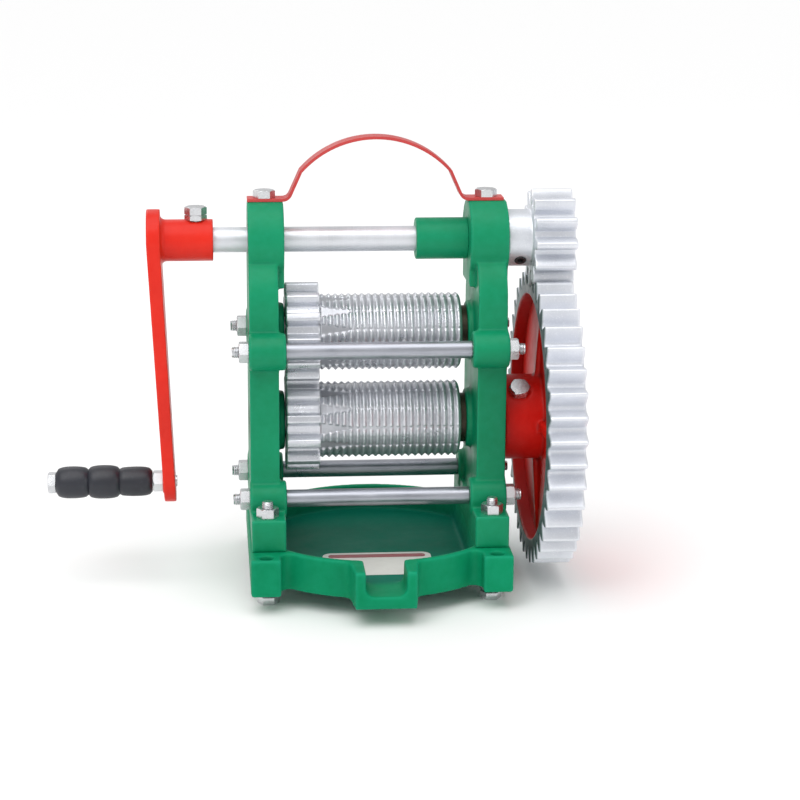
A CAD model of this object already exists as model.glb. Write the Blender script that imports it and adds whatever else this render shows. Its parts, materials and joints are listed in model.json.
import json
import math
import bmesh
import bpy
from mathutils import Matrix, Vector

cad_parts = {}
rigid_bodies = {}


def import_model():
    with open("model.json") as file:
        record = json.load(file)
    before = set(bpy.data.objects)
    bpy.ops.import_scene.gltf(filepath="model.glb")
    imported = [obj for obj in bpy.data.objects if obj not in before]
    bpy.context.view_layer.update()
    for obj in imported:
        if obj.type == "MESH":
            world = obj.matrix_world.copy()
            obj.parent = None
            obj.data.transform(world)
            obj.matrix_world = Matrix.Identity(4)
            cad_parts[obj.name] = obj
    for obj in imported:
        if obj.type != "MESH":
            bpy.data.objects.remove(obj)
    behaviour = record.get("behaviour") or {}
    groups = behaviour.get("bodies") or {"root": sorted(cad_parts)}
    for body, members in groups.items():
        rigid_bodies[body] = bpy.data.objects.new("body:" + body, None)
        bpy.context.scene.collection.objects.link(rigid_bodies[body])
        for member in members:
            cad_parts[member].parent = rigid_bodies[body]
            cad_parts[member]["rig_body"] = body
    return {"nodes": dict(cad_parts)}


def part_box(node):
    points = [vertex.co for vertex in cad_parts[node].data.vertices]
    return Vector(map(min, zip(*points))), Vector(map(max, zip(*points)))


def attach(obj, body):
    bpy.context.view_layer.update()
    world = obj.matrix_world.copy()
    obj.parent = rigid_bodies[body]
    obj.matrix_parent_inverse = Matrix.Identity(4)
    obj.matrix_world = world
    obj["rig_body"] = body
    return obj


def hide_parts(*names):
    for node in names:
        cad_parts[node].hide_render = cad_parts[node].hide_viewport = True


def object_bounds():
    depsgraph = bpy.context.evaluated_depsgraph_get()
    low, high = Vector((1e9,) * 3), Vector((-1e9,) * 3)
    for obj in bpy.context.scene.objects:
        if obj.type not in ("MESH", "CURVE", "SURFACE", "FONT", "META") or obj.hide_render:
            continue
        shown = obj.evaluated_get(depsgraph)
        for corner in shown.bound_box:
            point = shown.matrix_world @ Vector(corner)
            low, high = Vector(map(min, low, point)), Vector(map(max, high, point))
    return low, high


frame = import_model()
cadLow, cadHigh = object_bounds()
print("frame loaded,", len(frame["nodes"]), "CAD nodes")

scene = bpy.context.scene
shaftTurn = Matrix.Rotation(math.pi / 2, 4, "Y")  # lays a shape made along Z along the shafts


# camera, floor and lights

cameraLook = {
    "place": Vector((-0.1727, -2.2387, 0.7499)),
    "yaw": 5.1,
    "pitch": 14.43,
    "roll": 0.43,
    "lens": 99.0,
    "sensor": 36.0,
}


def addCamera(look):
    yaw = math.radians(look["yaw"])
    pitch = math.radians(look["pitch"])
    roll = math.radians(look["roll"])
    ahead = Vector((math.sin(yaw) * math.cos(pitch), math.cos(yaw) * math.cos(pitch), -math.sin(pitch)))
    level = Vector((math.cos(yaw), -math.sin(yaw), 0))
    above = level.cross(ahead)
    right = math.cos(roll) * level + math.sin(roll) * above
    up = -math.sin(roll) * level + math.cos(roll) * above
    camera = bpy.data.objects.new("camera", bpy.data.cameras.new("camera"))
    camera.data.lens = look["lens"]
    camera.data.sensor_width = look["sensor"]
    camera.data.clip_end = 100
    turn = Matrix((right, up, -ahead)).transposed().to_4x4()
    camera.matrix_world = Matrix.Translation(look["place"]) @ turn
    scene.collection.objects.link(camera)
    scene.camera = camera


stageLook = {
    "floorSize": 60.0,
    "floorColour": (0.96, 0.96, 0.96, 1),
    "worldColour": (1.0, 1.0, 1.0, 1),
    "worldStrength": 0.66,
    "sunFrom": (-0.35, -0.75, 2.6),
    "sunStrength": 1.25,
    "sunAngle": 55.0,
    "boxAim": Vector((-0.03, 0, 0.2)),
}

softboxes = [  # name, place, size, watts
    ("key", (-1.5, -2.0, 2.4), 1.3, 15),
    ("fill", (2.2, -1.8, 1.3), 1.2, 7),
    ("rear", (-0.9, 2.2, 1.8), 1.2, 7),
]


def addStage(look):
    bm = bmesh.new()
    bmesh.ops.create_grid(bm, x_segments=1, y_segments=1, size=look["floorSize"] / 2)
    bmesh.ops.translate(bm, verts=bm.verts, vec=(0, 0, cadLow.z))
    mesh = bpy.data.meshes.new("floor")
    bm.to_mesh(mesh)
    bm.free()
    floor = bpy.data.objects.new("floor", mesh)
    scene.collection.objects.link(floor)
    paper = bpy.data.materials.new("floorPaper")
    paper.use_nodes = True
    shader = paper.node_tree.nodes["Principled BSDF"]
    shader.inputs["Base Color"].default_value = look["floorColour"]
    shader.inputs["Roughness"].default_value = 0.9
    shader.inputs["Specular IOR Level"].default_value = 0.1
    mesh.materials.append(paper)
    world = bpy.data.worlds.new("studio")
    world.use_nodes = True
    tree = world.node_tree
    background = tree.nodes["Background"]
    background.inputs["Color"].default_value = look["worldColour"]
    sight = tree.nodes.new("ShaderNodeLightPath")
    strength = tree.nodes.new("ShaderNodeMapRange")  # seen directly, the surroundings are plain white
    strength.inputs["To Min"].default_value = look["worldStrength"]
    strength.inputs["To Max"].default_value = 1.0
    tree.links.new(sight.outputs["Is Camera Ray"], strength.inputs["Value"])
    tree.links.new(strength.outputs["Result"], background.inputs["Strength"])
    scene.world = world
    sun = bpy.data.objects.new("sun", bpy.data.lights.new("sun", "SUN"))
    sun.data.energy = look["sunStrength"]
    sun.data.angle = math.radians(look["sunAngle"])
    sun.matrix_world = Vector(look["sunFrom"]).to_track_quat("Z", "Y").to_matrix().to_4x4()
    scene.collection.objects.link(sun)
    for name, place, size, watts in softboxes:
        light = bpy.data.objects.new(name, bpy.data.lights.new(name, "AREA"))
        light.data.shape = "SQUARE"
        light.data.size = size
        light.data.energy = watts
        away = (Vector(place) - look["boxAim"]).normalized()
        light.matrix_world = Matrix.Translation(place) @ away.to_track_quat("Z", "Y").to_matrix().to_4x4()
        scene.collection.objects.link(light)


scene.view_settings.view_transform = "Standard"
addCamera(cameraLook)
addStage(stageLook)
print("camera, floor and lights placed")


# materials

def axisHeight(node):
    low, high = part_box(node)
    return (low.z + high.z) / 2


lowerAxis = axisHeight("lower_roller_shaft")
upperAxis = axisHeight("upper_roller_shaft")


def startMaterial(name):
    material = bpy.data.materials.new(name)
    material.use_nodes = True
    tree = material.node_tree
    place = tree.nodes.new("ShaderNodeTexCoord")
    return material, tree, tree.nodes["Principled BSDF"], place.outputs["Object"]


def addNoise(tree, place, scale, detail=4.0, roughness=0.55, stretch=None):
    if stretch:
        mapping = tree.nodes.new("ShaderNodeMapping")
        mapping.inputs["Scale"].default_value = stretch
        tree.links.new(place, mapping.inputs["Vector"])
        place = mapping.outputs["Vector"]
    noise = tree.nodes.new("ShaderNodeTexNoise")
    noise.inputs["Scale"].default_value = scale
    noise.inputs["Detail"].default_value = detail
    noise.inputs["Roughness"].default_value = roughness
    tree.links.new(place, noise.inputs["Vector"])
    return noise.outputs["Fac"]


def addRange(tree, value, low, high, toLow=0.0, toHigh=1.0):
    spread = tree.nodes.new("ShaderNodeMapRange")
    spread.inputs["From Min"].default_value = low
    spread.inputs["From Max"].default_value = high
    spread.inputs["To Min"].default_value = toLow
    spread.inputs["To Max"].default_value = toHigh
    tree.links.new(value, spread.inputs["Value"])
    return spread.outputs["Result"]


def addMath(tree, operation, first, second):
    step = tree.nodes.new("ShaderNodeMath")
    step.operation = operation
    for socket, value in zip(step.inputs, (first, second)):
        if isinstance(value, (int, float)):
            socket.default_value = value
        else:
            tree.links.new(value, socket)
    return step.outputs[0]


def addMix(tree, factor, first, second):
    mix = tree.nodes.new("ShaderNodeMix")
    mix.data_type = "RGBA"
    tree.links.new(factor, mix.inputs["Factor"])
    for socket, value in ((mix.inputs["A"], first), (mix.inputs["B"], second)):
        if isinstance(value, tuple):
            socket.default_value = value + (1,)
        else:
            tree.links.new(value, socket)
    return mix.outputs["Result"]


def addBump(tree, shader, height, strength, distance, before=None):
    bump = tree.nodes.new("ShaderNodeBump")
    bump.inputs["Strength"].default_value = strength
    bump.inputs["Distance"].default_value = distance
    tree.links.new(height, bump.inputs["Height"])
    if before:
        tree.links.new(before, bump.inputs["Normal"])
    tree.links.new(bump.outputs["Normal"], shader.inputs["Normal"])
    return bump.outputs["Normal"]


def addEdges(tree, low, high):
    geometry = tree.nodes.new("ShaderNodeNewGeometry")
    return addRange(tree, geometry.outputs["Pointiness"], low, high)


def splitPlace(tree, place):
    split = tree.nodes.new("ShaderNodeSeparateXYZ")
    tree.links.new(place, split.inputs["Vector"])
    return split


def addDistance(tree, first, second):
    square = addMath(tree, "ADD", addMath(tree, "POWER", first, 2.0), addMath(tree, "POWER", second, 2.0))
    return addMath(tree, "SQRT", square, 0.0)


# noise scales, and bump depths in metres, of each kind of surface
paintGrain = {
    "broad": 9, "fine": 120, "chips": 75, "gloss": 38, "sand": 420, "lumps": 60,
    "splash": 30, "sandDepth": 0.0004, "lumpDepth": 0.0012,
}
silverGrain = {
    "broad": 26, "specks": 600, "gloss": 55, "sand": 480, "lumps": 85,
    "border": 90, "side": 45, "sandDepth": 0.0004, "lumpDepth": 0.001,
}
turnedGrain = {"smear": 24, "spots": 140, "scratchDepth": 0.0002}
plasticGrain = {"broad": 18, "dust": 160, "gloss": 50, "grain": 900, "grainDepth": 0.0003}


def castPaint(name, look):
    material, tree, shader, place = startMaterial(name)
    broad = addRange(tree, addNoise(tree, place, paintGrain["broad"], 3), 0.35, 0.65)
    colour = addMix(tree, broad, look["deep"], look["main"])
    fine = addRange(tree, addNoise(tree, place, paintGrain["fine"], 5), 0.3, 0.75, 0.0, look["mottle"])
    colour = addMix(tree, fine, colour, look["light"])
    worn = addMath(tree, "MULTIPLY", addEdges(tree, 0.515, 0.56), look["wornEdges"])
    colour = addMix(tree, worn, colour, look["light"])
    recess = addMath(tree, "MULTIPLY", addEdges(tree, 0.49, 0.45), look["dirtyCorners"])
    colour = addMix(tree, recess, colour, look["dirt"])
    chips = addRange(tree, addNoise(tree, place, paintGrain["chips"], 6, 0.7), 0.70, 0.73)
    chips = addMath(tree, "MULTIPLY", chips, addEdges(tree, 0.52, 0.57))
    colour = addMix(tree, chips, colour, look["bare"])
    if "panRadius" in look:  # juice-stained paint low inside the pan
        split = splitPlace(tree, place)
        splash = addRange(tree, addNoise(tree, place, paintGrain["splash"], 3), 0, 1, -0.004, 0.004)
        reach = addMath(tree, "ADD", addDistance(tree, split.outputs["X"], split.outputs["Y"]), splash)
        inside = addRange(tree, reach, look["panRadius"] - 0.006, look["panRadius"] + 0.006, 1, 0)
        low = addRange(tree, split.outputs["Z"], look["panFloor"] + 0.003, look["panFloor"] + 0.026, 1, 0)
        stain = addMath(tree, "MULTIPLY", addMath(tree, "MULTIPLY", inside, low), look["stain"])
        colour = addMix(tree, stain, colour, look["dirt"])
    tree.links.new(colour, shader.inputs["Base Color"])
    gloss = addNoise(tree, place, paintGrain["gloss"], 4)
    gloss = addRange(tree, gloss, 0.3, 0.7, look["gloss"] - 0.07, look["gloss"] + 0.09)
    tree.links.new(gloss, shader.inputs["Roughness"])
    shader.inputs["Specular IOR Level"].default_value = look["specular"]
    sand = addNoise(tree, place, paintGrain["sand"], 3)
    lumps = addNoise(tree, place, paintGrain["lumps"], 3)
    grain = addBump(tree, shader, sand, look["sand"], paintGrain["sandDepth"])
    addBump(tree, shader, lumps, look["lumps"], paintGrain["lumpDepth"], grain)
    return material


def radiusAbout(tree, split, height):
    # distance from the line along X at this height
    rise = addMath(tree, "SUBTRACT", split.outputs["Z"], height)
    return addDistance(tree, split.outputs["Y"], rise)


def silverCasting(name, look):
    material, tree, shader, place = startMaterial(name)
    split = splitPlace(tree, place)
    broad = addRange(tree, addNoise(tree, place, silverGrain["broad"], 4), 0.3, 0.7)
    colour = addMix(tree, broad, look["deep"], look["main"])
    specks = addRange(tree, addNoise(tree, place, silverGrain["specks"], 2), 0.55, 0.75, 0, 0.5)
    colour = addMix(tree, specks, colour, look["light"])
    grime = addMath(tree, "MULTIPLY", addEdges(tree, 0.47, 0.38), look["grime"])
    colour = addMix(tree, grime, colour, look["dirt"])
    if "valleys" in look:  # dirt between the ridges
        reach = radiusAbout(tree, split, look["axisHeight"])
        deepDirt = addRange(tree, reach, look["valleys"][0], look["valleys"][1], look["valleyDirt"], 0)
        colour = addMix(tree, deepDirt, colour, look["dirt"])
    shine = addMath(tree, "MULTIPLY", addEdges(tree, 0.52, 0.58), look["rubbed"])
    colour = addMix(tree, shine, colour, look["light"])
    if "sideFace" in look:  # the unpainted side of the rim, and the red paint that runs up its bore
        wander = addRange(tree, addNoise(tree, place, silverGrain["border"], 4), 0, 1, -0.0006, 0.0006)
        edge = addMath(tree, "ADD", split.outputs["X"], wander)
        onSide = addRange(tree, edge, look["sideFace"] + 0.0004, look["sideFace"] + 0.0022, 1, 0)
        patches = addRange(tree, addNoise(tree, place, silverGrain["side"], 5), 0.35, 0.65)
        side = addMix(tree, patches, look["sideDeep"], look["sideMain"])
        colour = addMix(tree, onSide, colour, side)
        metal = addRange(tree, onSide, 0, 1, look["metal"], 0.1)
        reach = radiusAbout(tree, split, look["axisHeight"])
        inBore = addRange(tree, reach, look["boreRadius"] + 0.0006, look["boreRadius"] + 0.0016, 1, 0)
        colour = addMix(tree, inBore, colour, look["borePaint"])
        metal = addMath(tree, "MULTIPLY", metal, addRange(tree, inBore, 0, 1, 1, 0))
        tree.links.new(metal, shader.inputs["Metallic"])
    else:
        shader.inputs["Metallic"].default_value = look["metal"]
    tree.links.new(colour, shader.inputs["Base Color"])
    gloss = addNoise(tree, place, silverGrain["gloss"], 4)
    gloss = addRange(tree, gloss, 0.3, 0.7, look["gloss"] - 0.08, look["gloss"] + 0.1)
    tree.links.new(gloss, shader.inputs["Roughness"])
    sand = addNoise(tree, place, silverGrain["sand"], 3)
    lumps = addNoise(tree, place, silverGrain["lumps"], 3)
    grain = addBump(tree, shader, sand, look["sand"], silverGrain["sandDepth"])
    addBump(tree, shader, lumps, look["lumps"], silverGrain["lumpDepth"], grain)
    return material


def turnedMetal(name, look):
    material, tree, shader, place = startMaterial(name)
    along = addNoise(tree, place, 1.0, 3, stretch=look["lines"])
    smear = addRange(tree, addNoise(tree, place, turnedGrain["smear"], 4), 0.35, 0.65)
    colour = addMix(tree, smear, look["deep"], look["main"])
    colour = addMix(tree, addRange(tree, along, 0.4, 0.75, 0, 0.4), colour, look["light"])
    spots = addNoise(tree, place, turnedGrain["spots"], 6, 0.7)
    spots = addRange(tree, spots, 0.66, 0.74, 0, look["spots"])
    colour = addMix(tree, spots, colour, look["dirt"])
    tree.links.new(colour, shader.inputs["Base Color"])
    shader.inputs["Metallic"].default_value = look["metal"]
    gloss = addRange(tree, smear, 0, 1, look["gloss"] - 0.05, look["gloss"] + 0.07)
    tree.links.new(gloss, shader.inputs["Roughness"])
    addBump(tree, shader, along, look["scratch"], turnedGrain["scratchDepth"])
    return material


def mouldedPlastic(name, look):
    material, tree, shader, place = startMaterial(name)
    broad = addRange(tree, addNoise(tree, place, plasticGrain["broad"], 3), 0.35, 0.65)
    colour = addMix(tree, broad, look["deep"], look["main"])
    dust = addNoise(tree, place, plasticGrain["dust"], 6, 0.7)
    dust = addRange(tree, dust, 0.55, 0.8, 0, look["dust"])
    colour = addMix(tree, dust, colour, look["light"])
    tree.links.new(colour, shader.inputs["Base Color"])
    gloss = addNoise(tree, place, plasticGrain["gloss"], 4)
    gloss = addRange(tree, gloss, 0.3, 0.7, look["gloss"] - 0.06, look["gloss"] + 0.08)
    tree.links.new(gloss, shader.inputs["Roughness"])
    grain = addNoise(tree, place, plasticGrain["grain"], 2)
    addBump(tree, shader, grain, look["grain"], plasticGrain["grainDepth"])
    return material


greenLook = {
    "main": (0.002, 0.270, 0.116), "deep": (0.001, 0.225, 0.094), "light": (0.016, 0.37, 0.215),
    "dirt": (0.001, 0.085, 0.060), "bare": (0.20, 0.22, 0.21),
    "mottle": 0.2, "wornEdges": 0.45, "dirtyCorners": 0.5,
    "gloss": 0.42, "specular": 0.2, "sand": 0.22, "lumps": 0.3,
}
greenEnamel = castPaint("greenEnamel", greenLook)
trayEnamel = castPaint("trayEnamel", {
    **greenLook, "dirt": (0.001, 0.135, 0.098), "specular": 0.08,
    "panRadius": 0.131, "panFloor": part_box("label_plate")[0].z, "stain": 0.8, "gloss": 0.5,
})
orangeRed = castPaint("orangeRed", {
    "main": (0.78, 0.020, 0.008), "deep": (0.62, 0.018, 0.010), "light": (0.86, 0.060, 0.035),
    "dirt": (0.25, 0.01, 0.006), "bare": (0.35, 0.33, 0.32),
    "mottle": 0.18, "wornEdges": 0.35, "dirtyCorners": 0.5,
    "gloss": 0.36, "specular": 0.22, "sand": 0.18, "lumps": 0.22,
})
gearRed = castPaint("gearRed", {
    "main": (0.78, 0.010, 0.004), "deep": (0.62, 0.008, 0.004), "light": (0.85, 0.045, 0.03),
    "dirt": (0.10, 0.006, 0.005), "bare": (0.25, 0.2, 0.2),
    "mottle": 0.2, "wornEdges": 0.35, "dirtyCorners": 0.6,
    "gloss": 0.38, "specular": 0.2, "sand": 0.3, "lumps": 0.35,
})
strapRed = castPaint("strapRed", {
    "main": (0.56, 0.045, 0.045), "deep": (0.44, 0.032, 0.034), "light": (0.70, 0.11, 0.10),
    "dirt": (0.15, 0.012, 0.012), "bare": (0.30, 0.29, 0.29),
    "mottle": 0.2, "wornEdges": 0.4, "dirtyCorners": 0.4,
    "gloss": 0.36, "specular": 0.22, "sand": 0.1, "lumps": 0.12,
})
silverPaint = silverCasting("silverPaint", {
    "main": (0.79, 0.81, 0.86), "deep": (0.68, 0.70, 0.75),
    "light": (0.92, 0.93, 0.96), "dirt": (0.20, 0.21, 0.23),
    "grime": 0.5, "rubbed": 0.6, "metal": 0.62, "gloss": 0.40, "sand": 0.25, "lumps": 0.3,
})
gearSilver = silverCasting("gearSilver", {
    "main": (0.79, 0.81, 0.86), "deep": (0.68, 0.70, 0.75),
    "light": (0.92, 0.93, 0.96), "dirt": (0.20, 0.21, 0.23),
    "grime": 0.45, "rubbed": 0.6, "metal": 0.62, "gloss": 0.42, "sand": 0.25, "lumps": 0.3,
    "sideFace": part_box("drive_gear_rim")[0].x,
    "sideMain": (0.075, 0.125, 0.125), "sideDeep": (0.045, 0.08, 0.082),
    "axisHeight": lowerAxis, "boreRadius": 0.130, "borePaint": (0.66, 0.009, 0.005),
})
rollerLook = {
    "main": (0.73, 0.745, 0.795), "deep": (0.61, 0.625, 0.67),
    "light": (0.93, 0.94, 0.97), "dirt": (0.13, 0.135, 0.15),
    "grime": 0.3, "rubbed": 0.85, "metal": 0.76, "gloss": 0.33, "sand": 0.3, "lumps": 0.25,
    "valleys": (0.0372, 0.0396), "valleyDirt": 0.45,
}
lowerRollerSilver = silverCasting("lowerRollerSilver", {**rollerLook, "axisHeight": lowerAxis})
upperRollerSilver = silverCasting("upperRollerSilver", {**rollerLook, "axisHeight": upperAxis})
shaftSteel = turnedMetal("shaftSteel", {
    "main": (0.76, 0.775, 0.82), "deep": (0.66, 0.675, 0.71),
    "light": (0.88, 0.89, 0.92), "dirt": (0.2, 0.19, 0.18),
    "lines": (2600, 12, 12), "spots": 0.3, "metal": 0.8, "gloss": 0.42, "scratch": 0.2,
})
zincPlate = turnedMetal("zincPlate", {
    "main": (0.70, 0.71, 0.73), "deep": (0.54, 0.55, 0.57),
    "light": (0.86, 0.87, 0.88), "dirt": (0.25, 0.23, 0.2),
    "lines": (500, 500, 500), "spots": 0.3, "metal": 0.92, "gloss": 0.27, "scratch": 0.12,
})
tubeZinc = turnedMetal("tubeZinc", {
    "main": (0.42, 0.435, 0.485), "deep": (0.33, 0.345, 0.39),
    "light": (0.62, 0.63, 0.67), "dirt": (0.25, 0.24, 0.23),
    "lines": (30, 900, 900), "spots": 0.25, "metal": 0.85, "gloss": 0.32, "scratch": 0.2,
})
bearingBronze = turnedMetal("bearingBronze", {
    "main": (0.055, 0.042, 0.026), "deep": (0.03, 0.025, 0.018),
    "light": (0.16, 0.12, 0.07), "dirt": (0.015, 0.012, 0.01),
    "lines": (900, 900, 900), "spots": 0.4, "metal": 0.6, "gloss": 0.42, "scratch": 0.15,
})
darkSteel = turnedMetal("darkSteel", {
    "main": (0.10, 0.10, 0.105), "deep": (0.06, 0.06, 0.065),
    "light": (0.2, 0.2, 0.2), "dirt": (0.03, 0.02, 0.02),
    "lines": (700, 700, 700), "spots": 0.4, "metal": 0.7, "gloss": 0.42, "scratch": 0.2,
})
gripPlastic = mouldedPlastic("gripPlastic", {
    "main": (0.020, 0.022, 0.031), "deep": (0.014, 0.015, 0.022), "light": (0.07, 0.075, 0.092),
    "dust": 0.3, "gloss": 0.44, "grain": 0.25,
})
labelPlastic = mouldedPlastic("labelPlastic", {
    "main": (0.74, 0.73, 0.69), "deep": (0.66, 0.65, 0.61), "light": (0.42, 0.41, 0.38),
    "dust": 0.25, "gloss": 0.36, "grain": 0.06,
})
labelInk = mouldedPlastic("labelInk", {
    "main": (0.34, 0.07, 0.08), "deep": (0.26, 0.05, 0.06), "light": (0.55, 0.4, 0.38),
    "dust": 0.3, "gloss": 0.4, "grain": 0.05,
})
print("materials made")


# helpers for pieces

def bodyOf(node):
    return frame["nodes"][node]["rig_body"]


def mergedCopy(node):
    bm = bmesh.new()
    bm.from_mesh(frame["nodes"][node].data)
    bmesh.ops.remove_doubles(bm, verts=bm.verts, dist=2e-6)
    return bm


def linkPiece(bm, name, body, material, nodes):
    mesh = bpy.data.meshes.new(name)
    bm.to_mesh(mesh)
    bm.free()
    mesh.materials.append(material)
    piece = bpy.data.objects.new(name, mesh)
    scene.collection.objects.link(piece)
    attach(piece, body)
    if nodes:
        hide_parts(*nodes)
    return piece


def bakeModifiers(piece):
    bpy.context.view_layer.update()
    made = bpy.data.meshes.new_from_object(piece.evaluated_get(bpy.context.evaluated_depsgraph_get()))
    piece.modifiers.clear()
    piece.data = made
    return piece


def castPiece(node, name, material, look):
    # one skin over the casting, then softened so that every corner has the radius of a sand mould
    piece = linkPiece(mergedCopy(node), name, bodyOf(node), material, [node])
    skin = piece.modifiers.new("skin", "REMESH")
    skin.mode = "VOXEL"
    skin.voxel_size = look["skin"]
    skin.use_smooth_shade = True
    soften = piece.modifiers.new("soften", "SMOOTH")
    soften.factor = 0.5
    soften.iterations = look["soften"]
    return bakeModifiers(piece)


def machinedPiece(node, name, material, look):
    # the CAD shape with its sharp edges broken
    bm = mergedCopy(node)
    bmesh.ops.dissolve_limit(bm, angle_limit=math.radians(0.5), verts=bm.verts, edges=bm.edges)
    sharp = [e for e in bm.edges if e.is_manifold and e.calc_face_angle(0) > math.radians(look["sharp"])]
    bmesh.ops.bevel(
        bm, geom=sharp, offset=look["edge"], offset_type="OFFSET", affect="EDGES",
        segments=look["steps"], profile=0.5, material=-1, clamp_overlap=True,
    )
    for face in bm.faces:
        face.smooth = True
    for edge in bm.edges:
        edge.smooth = edge.calc_face_angle(0) < math.radians(50)
    piece = linkPiece(bm, name, bodyOf(node), material, [node])
    flat = piece.modifiers.new("flatten", "WEIGHTED_NORMAL")
    flat.keep_sharp = True
    return bakeModifiers(piece)


# castings

castings = [  # node, piece, slot, material, skin and softening
    ("base_tray", "trayCasting", "green_enamel", trayEnamel, {"skin": 0.0018, "soften": 6}),
    ("left_frame", "leftFrameCasting", "green_enamel", greenEnamel, {"skin": 0.0015, "soften": 10}),
    ("right_frame", "rightFrameCasting", "green_enamel", greenEnamel, {"skin": 0.0015, "soften": 10}),
    ("crank_arm", "crankArmForging", "red_enamel", orangeRed, {"skin": 0.0011, "soften": 5}),
    ("drive_gear_rim", "driveGearTeeth", "cast_silver", gearSilver, {"skin": 0.0016, "soften": 2}),
    ("drive_gear_web", "driveGearWheel", "red_enamel", gearRed, {"skin": 0.0016, "soften": 5}),
    ("pinion", "pinionCasting", "cast_silver", silverPaint, {"skin": 0.0010, "soften": 3}),
    ("upper_roller", "upperRollerCasting", "cast_silver", upperRollerSilver, {"skin": 0.00118, "soften": 2}),
    ("lower_roller", "lowerRollerCasting", "cast_silver", lowerRollerSilver, {"skin": 0.00118, "soften": 2}),
]
for node, name, slotName, material, look in castings:
    castPiece(node, name, material, look)
    print("cast", name)


# machined and stamped pieces

# an edge is broken where its faces turn by more than "sharp" degrees
nutEdge = {"sharp": 20, "edge": 0.0005, "steps": 2}
turnedEdge = {"sharp": 25, "edge": 0.0004, "steps": 2}
sleeveEdge = {"sharp": 25, "edge": 0.0012, "steps": 3}
strapEdge = {"sharp": 25, "edge": 0.0006, "steps": 2}
screwEdge = {"sharp": 25, "edge": 0.0003, "steps": 2}
tubeEdge = {"sharp": 25, "edge": 0.0005, "steps": 2}
machined = [
    ("carry_strap", "carryStrap", "red_enamel", strapRed, strapEdge),
    ("pinion_shaft_sleeve", "shaftSleeve", "green_enamel", greenEnamel, sleeveEdge),
    ("pinion_shaft", "pinionShaft", "steel", shaftSteel, turnedEdge),
    ("pinion_shaft_bush", "pinionShaftBush", "bronze", bearingBronze, turnedEdge),
    ("left_roller_bushes", "leftRollerBushes", "bronze", bearingBronze, turnedEdge),
    ("right_roller_bushes", "rightRollerBushes", "bronze", bearingBronze, turnedEdge),
    ("upper_roller_shaft", "upperRollerShaft", "steel", shaftSteel, turnedEdge),
    ("lower_roller_shaft", "lowerRollerShaft", "steel", shaftSteel, turnedEdge),
    ("upper_spacer_tubes", "upperSpacerTubes", "zinc", tubeZinc, tubeEdge),
    ("lower_spacer_tubes", "lowerSpacerTubes", "zinc", tubeZinc, tubeEdge),
    ("left_tie_rod_nuts", "leftTieRodNuts", "zinc", zincPlate, nutEdge),
    ("right_tie_rod_nuts", "rightTieRodNuts", "zinc", zincPlate, nutEdge),
    ("foot_nuts", "footNuts", "zinc", zincPlate, nutEdge),
    ("foot_lock_nuts", "footLockNuts", "zinc", zincPlate, nutEdge),
    ("strap_bolts", "strapBolts", "zinc", zincPlate, nutEdge),
    ("drive_gear_set_bolt", "driveGearSetBolt", "zinc", zincPlate, nutEdge),
    ("crank_set_bolt", "crankSetBolt", "zinc", zincPlate, nutEdge),
    ("crank_lock_nut", "crankLockNut", "zinc", zincPlate, nutEdge),
    ("grip_bolt", "gripBolt", "zinc", zincPlate, nutEdge),
    ("grip_nut", "gripNut", "zinc", zincPlate, nutEdge),
    ("pinion_set_screw", "pinionSetScrew", "steel", darkSteel, screwEdge),
]
for node, name, slotName, material, look in machined:
    machinedPiece(node, name, material, look)
for node in ("pinion_key", "upper_roller_key", "lower_roller_key", "drive_gear_key"):
    frame["nodes"][node].data.materials.clear()
    frame["nodes"][node].data.materials.append(shaftSteel)
print("machined pieces finished")


# threaded rods and studs

threadLook = {"pitch": 0.00175, "depth": 0.0009, "turns": 40, "rodEnd": 0.022, "softBelow": 25}


def spinProfile(profile, steps):
    # a full turn of a profile of (along, radius) points about the Z axis
    bm = bmesh.new()
    verts = [bm.verts.new((radius, 0, along)) for along, radius in profile]
    edges = [bm.edges.new(pair) for pair in zip(verts, verts[1:])]
    bmesh.ops.spin(
        bm, geom=verts + edges, cent=(0, 0, 0), axis=(0, 0, 1), dvec=(0, 0, 0),
        angle=2 * math.pi, steps=steps, use_merge=True, use_duplicate=False,
    )
    bmesh.ops.remove_doubles(bm, verts=bm.verts, dist=1e-6)
    bmesh.ops.recalc_face_normals(bm, faces=bm.faces)
    return bm


def threadProfile(start, end, radius, look):
    # V turns from start to end, with a chamfered tip at the end
    points = []
    turns = max(1, int((end - start) / look["pitch"]))
    pitch = (end - start) / turns
    for k in range(turns):
        low = start + k * pitch
        shrink = look["depth"] if k == turns - 1 else 0
        points += [
            (low, radius - look["depth"]),
            (low + pitch * 0.42, radius - shrink * 0.6),
            (low + pitch * 0.58, radius - shrink * 0.6),
        ]
    return points + [(end, radius - look["depth"] * 1.3)]


def rodBothEnds(length, radius, threaded, look):
    # rod about Z, centred, threaded at both ends
    half = length / 2
    upper = threadProfile(half - threaded, half, radius, look)
    lower = [(-along, r) for along, r in reversed(upper)]
    return spinProfile([(-half, 0)] + lower + upper + [(half, 0)], look["turns"])


def joinInto(target, source, matrix):
    bmesh.ops.transform(source, matrix=matrix, verts=source.verts)
    mesh = bpy.data.meshes.new("part")
    source.to_mesh(mesh)
    source.free()
    target.from_mesh(mesh)
    bpy.data.meshes.remove(mesh)


def smoothAll(bm, limit):
    for face in bm.faces:
        face.smooth = True
    for edge in bm.edges:
        edge.smooth = edge.calc_face_angle(0) < math.radians(limit)


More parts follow.
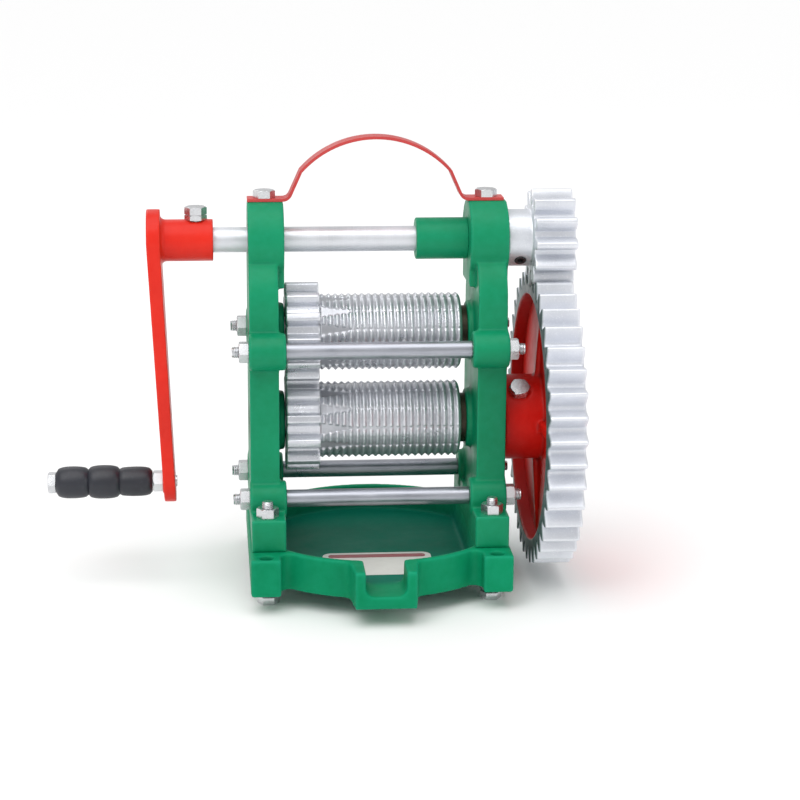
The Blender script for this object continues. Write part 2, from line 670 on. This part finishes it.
for node, name in (("upper_tie_rods", "upperTieRods"), ("lower_tie_rods", "lowerTieRods")):
    low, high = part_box(node)
    radius = (high.z - low.z) / 2
    rods = bmesh.new()
    for depth in (low.y + radius, high.y - radius):
        rod = rodBothEnds(high.x - low.x, radius, threadLook["rodEnd"], threadLook)
        joinInto(rods, rod, Matrix.Translation((0, depth, (low.z + high.z) / 2)) @ shaftTurn)
    smoothAll(rods, threadLook["softBelow"])
    linkPiece(rods, name, "frame", zincPlate, [node])
print("tie rods threaded")


# foot bolts

footLook = {"headHeight": 0.008, "flats": 0.020, "thread": 0.030, "radius": 0.006, "edge": 0.0005}


def hexHead(flats, height, edge):
    # head about Z, standing on Z 0, its top corners turned off
    bm = bmesh.new()
    bmesh.ops.create_cone(
        bm, cap_ends=True, cap_tris=False, segments=6,
        radius1=flats / math.sqrt(3), radius2=flats / math.sqrt(3), depth=height,
    )
    bmesh.ops.translate(bm, verts=bm.verts, vec=(0, 0, height / 2))
    bmesh.ops.rotate(bm, verts=bm.verts, cent=(0, 0, 0), matrix=Matrix.Rotation(math.radians(30), 3, "Z"))
    top = [f for f in bm.faces if f.normal.z > 0.9]
    bmesh.ops.inset_region(bm, faces=top, thickness=flats * 0.06, depth=0)
    top = [f for f in bm.faces if f.normal.z > 0.9 and len(f.verts) == 6]
    corners = [v for v in bm.verts if v.co.z > height * 0.9 and v not in top[0].verts]
    bmesh.ops.translate(bm, verts=corners, vec=(0, 0, -flats * 0.045))
    bmesh.ops.bevel(
        bm, geom=list(bm.edges), offset=edge, offset_type="OFFSET", affect="EDGES",
        segments=2, profile=0.5, material=-1, clamp_overlap=True,
    )
    return bm


low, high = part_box("foot_bolts")
bolts = bmesh.new()
boltLength = high.z - low.z - footLook["headHeight"]
cornerX = footLook["flats"] / math.sqrt(3)
for sx in (-1, 1):
    for sy in (-1, 1):
        boltX = sx * (high.x - cornerX)
        boltY = sy * (high.y - footLook["flats"] / 2)
        spot = Vector((boltX, boltY, low.z + footLook["headHeight"]))
        head = hexHead(footLook["flats"], footLook["headHeight"], footLook["edge"])
        joinInto(bolts, head, Matrix.Translation(spot) @ Matrix.Rotation(math.pi, 4, "X"))
        thread = threadProfile(boltLength - footLook["thread"], boltLength, footLook["radius"], threadLook)
        shank = [(-footLook["edge"], 0), (-footLook["edge"], footLook["radius"])]
        stud = spinProfile(shank + thread + [(boltLength, 0)], threadLook["turns"])
        joinInto(bolts, stud, Matrix.Translation(spot))
smoothAll(bolts, threadLook["softBelow"])
linkPiece(bolts, "footBolts", "frame", zincPlate, ["foot_bolts"])
print("foot bolts threaded")


# hand grip

gripLook = {
    "lobes": (0.0169, 0.0177, 0.0156),  # crown radius of each swelling
    "ends": (0.0, 0.335, 0.66, 1.0),  # where they meet, as shares of the length
    "neck": 0.0140, "tip": 0.0118, "bore": 0.0062, "edge": 0.0008, "groove": 0.0006,
    "fineness": 14, "turns": 72,
}


def makeGrip(look):
    low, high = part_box("hand_grip")
    length = high.x - low.x
    axisZ = (low.z + high.z) / 2
    tip, bore, edge = look["tip"], look["bore"], look["edge"]
    points = [(0, bore), (0, tip - edge), (edge, tip)]
    levels = (tip, look["neck"], look["neck"], tip)
    for k, crown in enumerate(look["lobes"]):
        start, end = look["ends"][k] * length, look["ends"][k + 1] * length
        for i in range(1, look["fineness"]):
            share = i / look["fineness"]
            foot = levels[k] + (levels[k + 1] - levels[k]) * share
            rise = (1 - abs(2 * share - 1) ** 2.6) ** 0.62
            points.append((start + (end - start) * share, foot + (crown - foot) * rise))
        if k < 2:
            points.append((end, levels[k + 1] - look["groove"]))
    points += [(length - edge, tip), (length, tip - edge), (length, bore), (0, bore)]
    bm = spinProfile(points, look["turns"])
    bmesh.ops.transform(bm, matrix=Matrix.Translation((low.x, 0, axisZ)) @ shaftTurn, verts=bm.verts)
    smoothAll(bm, 40)
    return linkPiece(bm, "gripSleeve", "grip", gripPlastic, ["hand_grip"])


makeGrip(gripLook)
print("grip turned")


# blank label

labelLook = {
    "corner": 0.010, "raise": 0.00025,
    "bandInset": 0.006, "bandDepth": 0.016, "bandCorner": 0.004,  # the band lies along the rear edge
}


def roundedSlab(low, high, corner, thickness, bottom):
    bm = bmesh.new()
    size = Vector((high.x - low.x, high.y - low.y, 0))
    bmesh.ops.create_grid(bm, x_segments=1, y_segments=1, size=0.5)
    bmesh.ops.scale(bm, verts=bm.verts, vec=(size.x, size.y, 1))
    bmesh.ops.translate(bm, verts=bm.verts, vec=((low.x + high.x) / 2, (low.y + high.y) / 2, bottom))
    bmesh.ops.bevel(
        bm, geom=list(bm.verts), offset=corner, offset_type="OFFSET", affect="VERTICES",
        segments=8, profile=0.5, material=-1, clamp_overlap=True,
    )
    up = bmesh.ops.extrude_face_region(bm, geom=list(bm.faces))
    raised = [g for g in up["geom"] if isinstance(g, bmesh.types.BMVert)]
    bmesh.ops.translate(bm, verts=raised, vec=(0, 0, thickness))
    bmesh.ops.recalc_face_normals(bm, faces=bm.faces)
    return bm


low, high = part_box("label_plate")
plate = roundedSlab(low, high, labelLook["corner"], high.z - low.z - labelLook["raise"], low.z)
linkPiece(plate, "labelPlate", "frame", labelPlastic, ["label_plate"])
inset = labelLook["bandInset"]
bandLow = Vector((low.x + inset, high.y - labelLook["bandDepth"], 0))
bandHigh = Vector((high.x - inset, high.y - inset, 0))
bandBottom = high.z - labelLook["raise"]
band = roundedSlab(bandLow, bandHigh, labelLook["bandCorner"], labelLook["raise"], bandBottom)
linkPiece(band, "labelBand", "frame", labelInk, [])
print("label laid")


print("sizes written")
